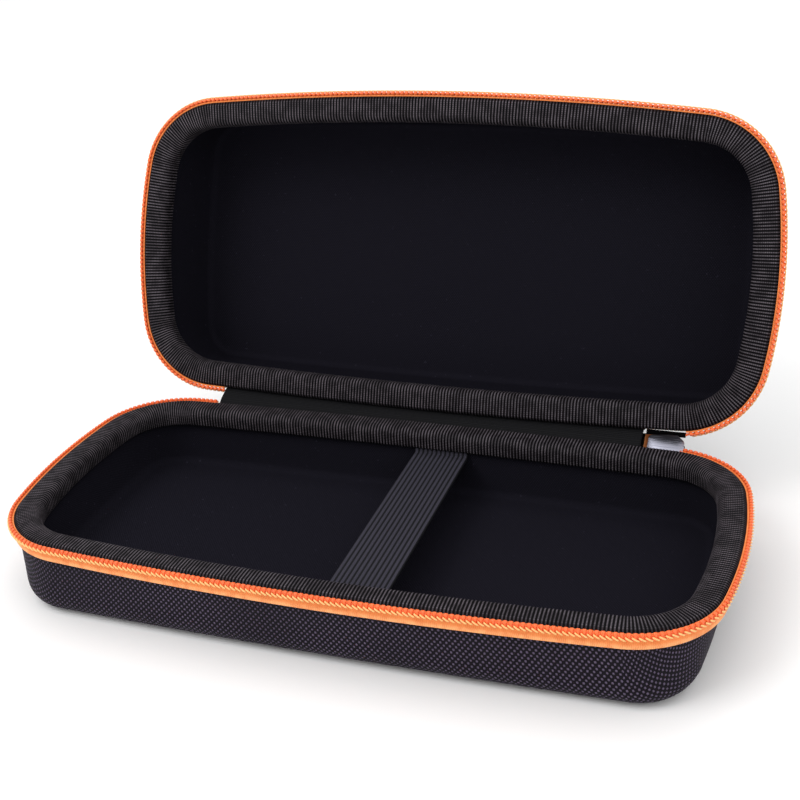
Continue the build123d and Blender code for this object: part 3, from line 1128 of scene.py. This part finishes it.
def round_wire(name, knots, thickness, capped):
    """Wire or thread along a smooth line, whose knots are given along, out and up."""
    bpy.ops.object.select_all(action="DESELECT")
    bpy.ops.curve.primitive_nurbs_path_add()
    curve = bpy.context.object.data
    spline = curve.splines[0]
    spline.points.add(len(knots) - len(spline.points))
    for point, (x, out, height) in zip(spline.points, knots):
        point.co = (x, -out, height, 1)
    spline.order_u = 3
    spline.use_endpoint_u = True
    spline.resolution_u = 2
    curve.bevel_depth = thickness / 2
    curve.bevel_resolution = 1
    curve.use_fill_caps = capped
    bpy.ops.object.convert(target="MESH")
    piece = bpy.context.object
    name_piece(piece, name)
    return piece


def wire_turn(name, pitch, wire, spread, foot, tip):
    """One turn of the coil: up the outer leg, over the head, down the inner leg and across."""
    top = tip - wire / 2
    knots = [
        (0.0, spread, foot + wire * 0.7),
        (0.0, spread, foot + wire * 1.6),
        (0.0, spread, top - wire * 0.9),
        (0.0, spread * 0.85, top),
        (0.0, -spread * 0.85, top),
        (0.0, -spread, top - wire * 0.9),
        (0.06 * pitch, -spread, foot + wire * 1.8),
        (0.3 * pitch, -spread * 0.9, foot + wire * 0.5),
        (0.7 * pitch, spread * 0.9, foot + wire * 0.5),
        (pitch, spread, foot + wire * 0.7),
        (pitch, spread, foot + wire * 1.6),
    ]
    return round_wire(name, knots, wire, False)


def stitch(name, start, end):
    """One stitch: a short thread that arches over the cloth and dives in at both ends."""
    middle = [(a + b) / 2 for a, b in zip(start, end)]
    knots = [
        (start[0], start[1] - STITCH_RISE, start[2]),
        (start[0] * 0.9 + middle[0] * 0.1, start[1] + STITCH_RISE, start[2]),
        (middle[0], middle[1] + STITCH_RISE, middle[2]),
        (end[0] * 0.9 + middle[0] * 0.1, end[1] + STITCH_RISE, end[2]),
        (end[0], end[1] - STITCH_RISE, end[2]),
    ]
    return round_wire(name, knots, STITCH_THICK, True)


class CASE_OT_zip_coils(bpy.types.Operator):
    """Add the coil of teeth on both tapes: one turn of wire, copied at the tooth pitch."""

    bl_idname = "case.zip_coils"
    bl_label = "Zip coils"

    def execute(self, context):
        make_materials(context)
        sizes = context.scene.case_sizes
        count, pitch = zip_teeth(sizes)
        shape = (sizes.wire, COIL_SPREAD, COIL_FOOT, COIL_TIP)
        for half in HALVES:
            piece = wire_turn(f"{half}_coil", pitch, *shape)
            for vertex in piece.data.vertices:
                share = share_between(vertex.co.z, HEAD_LOW, HEAD_HIGH)
                vertex.co.x *= 1 + HEAD_WIDENING * share
            shift(piece, pitch / 2 if half == "base" else 0.0, COIL_MIDDLE)
            lay_run(piece, arc_guide(rim_between(*ZIP_RUN)), pitch, count)
            add_to_half(piece, half, "nylon_coil", "zip_coil", [f"{half}_zip_coil"])
        return {"FINISHED"}


class CASE_OT_zip_stitches(bpy.types.Operator):
    """Add the slanted thread that holds each turn of the coil to its tape."""

    bl_idname = "case.zip_stitches"
    bl_label = "Zip stitches"

    def execute(self, context):
        make_materials(context)
        sizes = context.scene.case_sizes
        count, pitch = zip_teeth(sizes)
        out = COIL_MIDDLE + COIL_SPREAD + sizes.wire / 2
        start, end = (0.05 * pitch, out, STITCH_TOP), (0.98 * pitch, out, STITCH_BOTTOM)
        for half in HALVES:
            piece = stitch(f"{half}_coil_thread", start, end)
            lay_run(piece, arc_guide(rim_between(*ZIP_RUN)), pitch, count - 1)
            add_to_half(piece, half, "zip_thread", "zip_tape")
        return {"FINISHED"}


# Strap and hinge


# Elastic strap: its place, its size, its gap to the lining, and how far below the rim its sewn
# ends and its middle lie
STRAP_X = 8 * MM
STRAP_WIDTH = 18 * MM
STRAP_THICK = 1.2 * MM
STRAP_GAP = 0.1 * MM
STRAP_DOWN = (3.4 * MM, 8.4 * MM)

# Hinge fabric: its middle outside the rim line (binding, gap and half its thickness), the ends
# of its legs below both rims, and where its bend begins and ends
HINGE_OUT = (0.6 + 0.05 + 0.45) * MM
HINGE_LEGS = (7.5 * MM, 2.6 * MM)
BEND_START = (0, HINGE_Y - 1.0 * MM, HINGE_Z - 1.4 * MM)
BEND_END = (0, HINGE_Y + 1.6 * MM, HINGE_Z + 0.5 * MM)

# Points on each rib of a ribbon
RIB_STEPS = 4


def ribbed_section(width, thickness, ribs, rise):
    """Closed section of a ribbed ribbon: across in Z, thick in Y, with ribs on both faces."""
    pitch = width / ribs
    face = []
    for i in range(ribs * RIB_STEPS + 1):
        swell = rise * math.sqrt(abs(math.sin(math.pi * i / RIB_STEPS)))
        face.append((i * pitch / RIB_STEPS - width / 2, thickness / 2 - rise + swell))
    back = [(z, -y) for z, y in reversed(face)]
    return [(0, y, z) for z, y in face + back]


def ribbon(name, line, middle, width, *, thickness, ribs, rise, bend, step=0.5 * MM):
    """Ribbed ribbon of one width along a bent line in Y and Z."""
    guide = bent_guide(line, bend)
    length = guide.data.splines[0].calc_length()
    section = ribbed_section(width, thickness, ribs, rise)
    piece = extruded_run(name, section, guide, length, step, RIBBON_FACE)
    stand_across(piece)
    move_mesh(piece, Matrix.Translation((middle, 0, 0)))
    return piece


def span(left, right):
    """Middle and width of what lies between two places along X."""
    return (left + right) / 2, right - left


class CASE_OT_strap(bpy.types.Operator):
    """Add the ribbed elastic strap across the tray."""

    bl_idname = "case.strap"
    bl_label = "Elastic strap"

    def execute(self, context):
        make_materials(context)
        inside = WALL + LINING
        slope = (RIM_PLAN[1] - FLAT_PLAN[1]) / 2 / (BASE_DEPTH - RIM_DROP - inside)
        line = []
        for side, way in ((FRONT, -1), (BACK, 1)):
            reach = reach_at(side, STRAP_X + STRAP_WIDTH / 2) - inside
            reach = reach - STRAP_GAP - STRAP_THICK / 2
            for down in STRAP_DOWN[::-way]:
                line.append((way * (reach - slope * (down - RIM_DROP)), BASE_DEPTH - down))
        piece = ribbon(
            "ribbed_strap",
            line,
            STRAP_X,
            STRAP_WIDTH,
            thickness=STRAP_THICK,
            ribs=context.scene.case_sizes.strap_ribs,
            rise=0.26 * MM,
            bend=1.3 * MM,
            step=0.8 * MM,
        )
        add_to_case(piece, "base", "strap_elastic", "elastic", ["elastic_strap"])
        return {"FINISHED"}


class CASE_OT_hinge_fabric(bpy.types.Operator):
    """Add the fabric strip that joins both halves, bent as it lies with the lid open."""

    bl_idname = "case.hinge_fabric"
    bl_label = "Hinge fabric"

    def execute(self, context):
        make_materials(context)
        near = reach_at(BACK, 0) + HINGE_OUT - HINGE_Y
        drop = BASE_DEPTH - HINGE_Z
        c, s = math.cos(LID_ANGLE), math.sin(LID_ANGLE)
        down = [(near, drop - leg) for leg in HINGE_LEGS]
        legs = reversed(HINGE_LEGS)
        up = [(near * c + (drop + leg) * s, (drop + leg) * c - near * s) for leg in legs]
        line = [(HINGE_Y + y, HINGE_Z + z) for y, z in down + [(0, 0)] + up]
        shape = {"thickness": 0.9 * MM, "ribs": 66, "rise": 0.08 * MM, "bend": 1.0 * MM}
        piece = ribbon("hinge_fabric", line, *span(STRIP_LEFT, STRIP_RIGHT), **shape)
        for vertex in piece.data.vertices:
            sag = reach_at(BACK, 0) - reach_at(BACK, vertex.co.x)
            share = share_between(vertex.co.y, line[0][0], line[3][0])
            share = share * share * (3 - 2 * share)
            vertex.co.y -= sag * (1 - share + share * c)
            vertex.co.z += sag * share * s
        bend = ("base", "lid", BEND_START, BEND_END)
        add_to_case(piece, bend, "hinge_cloth", "hinge_fabric", ["hinge_strip"])
        return {"FINISHED"}


# Parked end of the zip


# The joined tapes reach this far up and down from the parting plane
CHAIN_REACH = 4.7 * MM
CHAIN_TOP = BASE_DEPTH + CHAIN_REACH
CHAIN_LINE = [(HINGE_Y, CHAIN_TOP), (HINGE_Y, BASE_DEPTH - CHAIN_REACH), (SEAM_Y, SEAM_Z)]

# A black tab above the slider and a black strip beside it, both in the hinge cloth: dark sheets
# that fill the gaps above and beside the slider as painted shade
SHADE_TAB_Y = HINGE_Y + 0.15 * MM
SHADE_TAB_LINE = [(SHADE_TAB_Y, CHAIN_TOP + 1.95 * MM), (SHADE_TAB_Y, CHAIN_TOP + 0.3 * MM)]
SIDE_SHADE_Y = HINGE_Y + 0.85 * MM
SIDE_SHADE_LINE = [
    (SIDE_SHADE_Y, CHAIN_TOP + 0.7 * MM),
    (SIDE_SHADE_Y, CHAIN_TOP - 2 * CHAIN_REACH + 1.2 * MM),
]

# The meshed coils: wire, half width, foot and tip, and their middle behind the hinge line (half
# the tape's thickness, a gap and half their own)
MESHED_WIRE = (0.42 * MM, 0.12 * MM, -2.5 * MM, 0.45 * MM)
MESHED_Y = HINGE_Y + 0.25 * MM + 0.05 * MM + 0.33 * MM


def swing_out(piece):
    """Swing a piece of the zip end out on its seam."""
    move_mesh(piece, turn_about(SEAM_Y, SEAM_Z, -LID_ANGLE / 2))


class CASE_OT_zip_end(bpy.types.Operator):
    """Add the joined end of both tapes and its meshed coils, where the slider is parked."""

    bl_idname = "case.zip_end"
    bl_label = "Zip end"

    def execute(self, context):
        make_materials(context)
        tape = ("woven_tape", "zip_tape", ["zip_chain_tape"])
        cloth = ("hinge_cloth", "hinge_fabric")
        for name, line, left, right, thickness, ribs, finish in (
            ("zip_end_tape", CHAIN_LINE, CHAIN_LEFT, CHAIN_RIGHT, 0.5 * MM, 12, tape),
            # Painted shade: black strips in the hinge cloth that darken the gaps above and beside
            # the slider
            ("zip_end_tab", SHADE_TAB_LINE, SHADE_TAB_LEFT, SHADE_TAB_RIGHT, 0.5 * MM, 20, cloth),
            ("zip_end_cover", SIDE_SHADE_LINE, SIDE_SHADE_LEFT, SIDE_SHADE_RIGHT, 0.3 * MM, 2, cloth),
        ):
            shape = {"thickness": thickness, "ribs": ribs, "rise": 0.04 * MM, "bend": 0.6 * MM}
            piece = ribbon(name, line, *span(left, right), **shape)
            swing_out(piece)
            add_to_case(piece, "zip_end", *finish)
        width = CHAIN_RIGHT - CHAIN_LEFT
        count = round(width / context.scene.case_sizes.tooth_pitch)
        pitch = width / count
        for half, way in (("lower", 1), ("upper", -1)):
            piece = wire_turn(f"zip_end_{half}_coil", pitch, *MESHED_WIRE)
            shift(piece, pitch * 0.25 * way + CHAIN_LEFT + pitch / 2)
            repeat(piece, pitch, count)
            close_ends(piece)
            place = Matrix.Translation((0, MESHED_Y, BASE_DEPTH))
            move_mesh(piece, place @ Matrix.Diagonal((1, -1, way, 1)))
            swing_out(piece)
            add_to_case(piece, "zip_end", "nylon_coil", "zip_coil", ["zip_chain_coil"])
        return {"FINISHED"}


class CASE_OT_slider(bpy.types.Operator):
    """Add the slider and its pull, with their edges eased."""

    bl_idname = "case.slider"
    bl_label = "Slider and pull"

    def execute(self, context):
        make_materials(context)
        parts = (("zip_slider_body", "slider"), ("zip_pull_tab", "pull"))
        for node, body in parts:
            select_only(frame["nodes"][node])
            bpy.ops.object.duplicate()
            piece = bpy.context.object
            bpy.ops.object.parent_clear(type="CLEAR_KEEP_TRANSFORM")
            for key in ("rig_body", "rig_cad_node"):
                del piece[key]
            name_piece(piece, f"cast_{body}")
            close_ends(piece)
            edge = piece.modifiers.new("Eased edges", "BEVEL")
            edge.width = 0.14 * MM
            edge.segments = 2
            edge.limit_method = "ANGLE"
            edge.angle_limit = math.radians(35)
            bpy.ops.object.modifier_apply(modifier=edge.name)
            add_to_case(piece, body, "plated_metal", "slider_metal", [node], sharp=30)
        return {"FINISHED"}


# Stage


FLOOR_SIZE = 6.0
FLOOR_DROP = 0.05 * MM
SKY_STRENGTH = 0.72
# Lamps by name: kind, place, power and settings. They look at a point in the middle of the case
LAMPS = {
    "overhead_light": ("SUN", (0, 0, 1), 0.95, {"angle": math.radians(100)}),
    "key_light": ("AREA", (-0.45, -0.45, 0.75), 3.2, {"size": 0.5}),
    "fill_light": ("AREA", (0.7, -0.5, 0.5), 1.0, {"size": 0.6}),
    "rim_light": ("AREA", (0.1, 0.7, 0.8), 1.2, {"size": 0.6}),
}
LAMP_TARGET = (0, 0, 0.05)

# Camera fitted to the photograph's view
CAMERA_PLACE = (0.13689, -0.34283, 0.23928)
CAMERA_TURN = math.radians(22.234)
CAMERA_TILT = math.radians(24.861)
CAMERA_ROLL = math.radians(-4.495)
LENS = 63.56
SHIFT = (0.061, -0.0369)
SENSOR = 36.0
NEAREST = 0.01


def add_floor(colours):
    """Add the plain floor just under the case."""
    bpy.ops.object.select_all(action="DESELECT")
    bpy.ops.mesh.primitive_plane_add(size=FLOOR_SIZE, location=(0, 0, -FLOOR_DROP))
    floor = bpy.context.object
    name_piece(floor, "plain_floor")
    bpy.ops.object.transform_apply(location=True)
    paint = Finish("plain_floor")
    shine = {"Roughness": 0.7, "Specular_IOR_Level": 0.2}
    paint.feed(paint.shader, Base_Color=opaque(colours.floor), **shine)
    floor.data.materials.append(paint.material)


def add_lights(scene):
    """Add the soft light of the sky, of one wide lamp overhead and of three area lights."""
    scene.view_settings.view_transform = "Standard"
    scene.world = bpy.data.worlds.new("Soft studio")
    scene.world.use_nodes = True
    sky = scene.world.node_tree.nodes["Background"]
    sky.inputs["Color"].default_value = (1, 1, 1, 1)
    sky.inputs["Strength"].default_value = SKY_STRENGTH
    for name, (kind, place, power, settings) in LAMPS.items():
        bpy.ops.object.light_add(type=kind, location=place)
        lamp = bpy.context.object
        lamp.name = name
        lamp.data.energy = power
        for key, value in settings.items():
            setattr(lamp.data, key, value)
        way = Vector(LAMP_TARGET) - Vector(place)
        lamp.rotation_euler = way.to_track_quat("-Z", "Y").to_euler()


def add_camera(scene):
    """Add the camera of the photograph's view."""
    flat = math.cos(CAMERA_TILT)
    turned = (-math.sin(CAMERA_TURN) * flat, math.cos(CAMERA_TURN) * flat)
    forward = Vector((*turned, -math.sin(CAMERA_TILT)))
    right = forward.cross(Vector((0, 0, 1))).normalized()
    up = right.cross(forward)
    c, s = math.cos(CAMERA_ROLL), math.sin(CAMERA_ROLL)
    right, up = right * c + up * s, up * c - right * s
    bpy.ops.object.camera_add()
    camera = bpy.context.object
    turn = Matrix((right, up, -forward)).transposed().to_4x4()
    camera.matrix_world = Matrix.Translation(CAMERA_PLACE) @ turn
    camera.data.lens = LENS
    camera.data.sensor_width = SENSOR
    camera.data.shift_x, camera.data.shift_y = SHIFT
    camera.data.clip_start = NEAREST
    scene.camera = camera


class CASE_OT_stage(bpy.types.Operator):
    """Add the floor, the soft lights and the camera of the photograph's view."""

    bl_idname = "case.stage"
    bl_label = "Floor, light and camera"

    def execute(self, context):
        add_floor(context.scene.case_colours)
        add_lights(context.scene)
        add_camera(context.scene)
        return {"FINISHED"}


class CASE_PT_panel(bpy.types.Panel):
    """Lists the pieces and what a user may change."""

    bl_idname = "CASE_PT_panel"
    bl_label = "Tool carrying case"
    bl_space_type = "VIEW_3D"
    bl_region_type = "UI"
    bl_category = "Carrying case"

    def draw(self, context):
        for settings in (context.scene.case_sizes, context.scene.case_colours):
            column = self.layout.column()
            for key in settings.bl_rna.properties.keys():
                if key not in ("rna_type", "name"):
                    column.prop(settings, key)
        for step in STEPS:
            self.layout.operator(step.bl_idname)


STEPS = (
    CASE_OT_moulded_halves,
    CASE_OT_linings,
    CASE_OT_bindings,
    CASE_OT_zip_tapes,
    CASE_OT_zip_coils,
    CASE_OT_zip_stitches,
    CASE_OT_strap,
    CASE_OT_hinge_fabric,
    CASE_OT_zip_end,
    CASE_OT_slider,
    CASE_OT_stage,
)
CLASSES = (CaseSizes, CaseColours, *STEPS, CASE_PT_panel)


def register():
    """Register the classes and give the scene its settings."""
    for item in CLASSES:
        bpy.utils.register_class(item)
    bpy.types.Scene.case_sizes = bpy.props.PointerProperty(type=CaseSizes)
    bpy.types.Scene.case_colours = bpy.props.PointerProperty(type=CaseColours)


def unregister():
    """Take the settings and the classes away again."""
    del bpy.types.Scene.case_sizes
    del bpy.types.Scene.case_colours
    for item in reversed(CLASSES):
        bpy.utils.unregister_class(item)


def main():
    """Build the case."""
    register()
    for step in STEPS:
        group, name = step.bl_idname.split(".")
        getattr(getattr(bpy.ops, group), name)()
    bpy.context.view_layer.update()


if __name__ == "__main__":
    main()
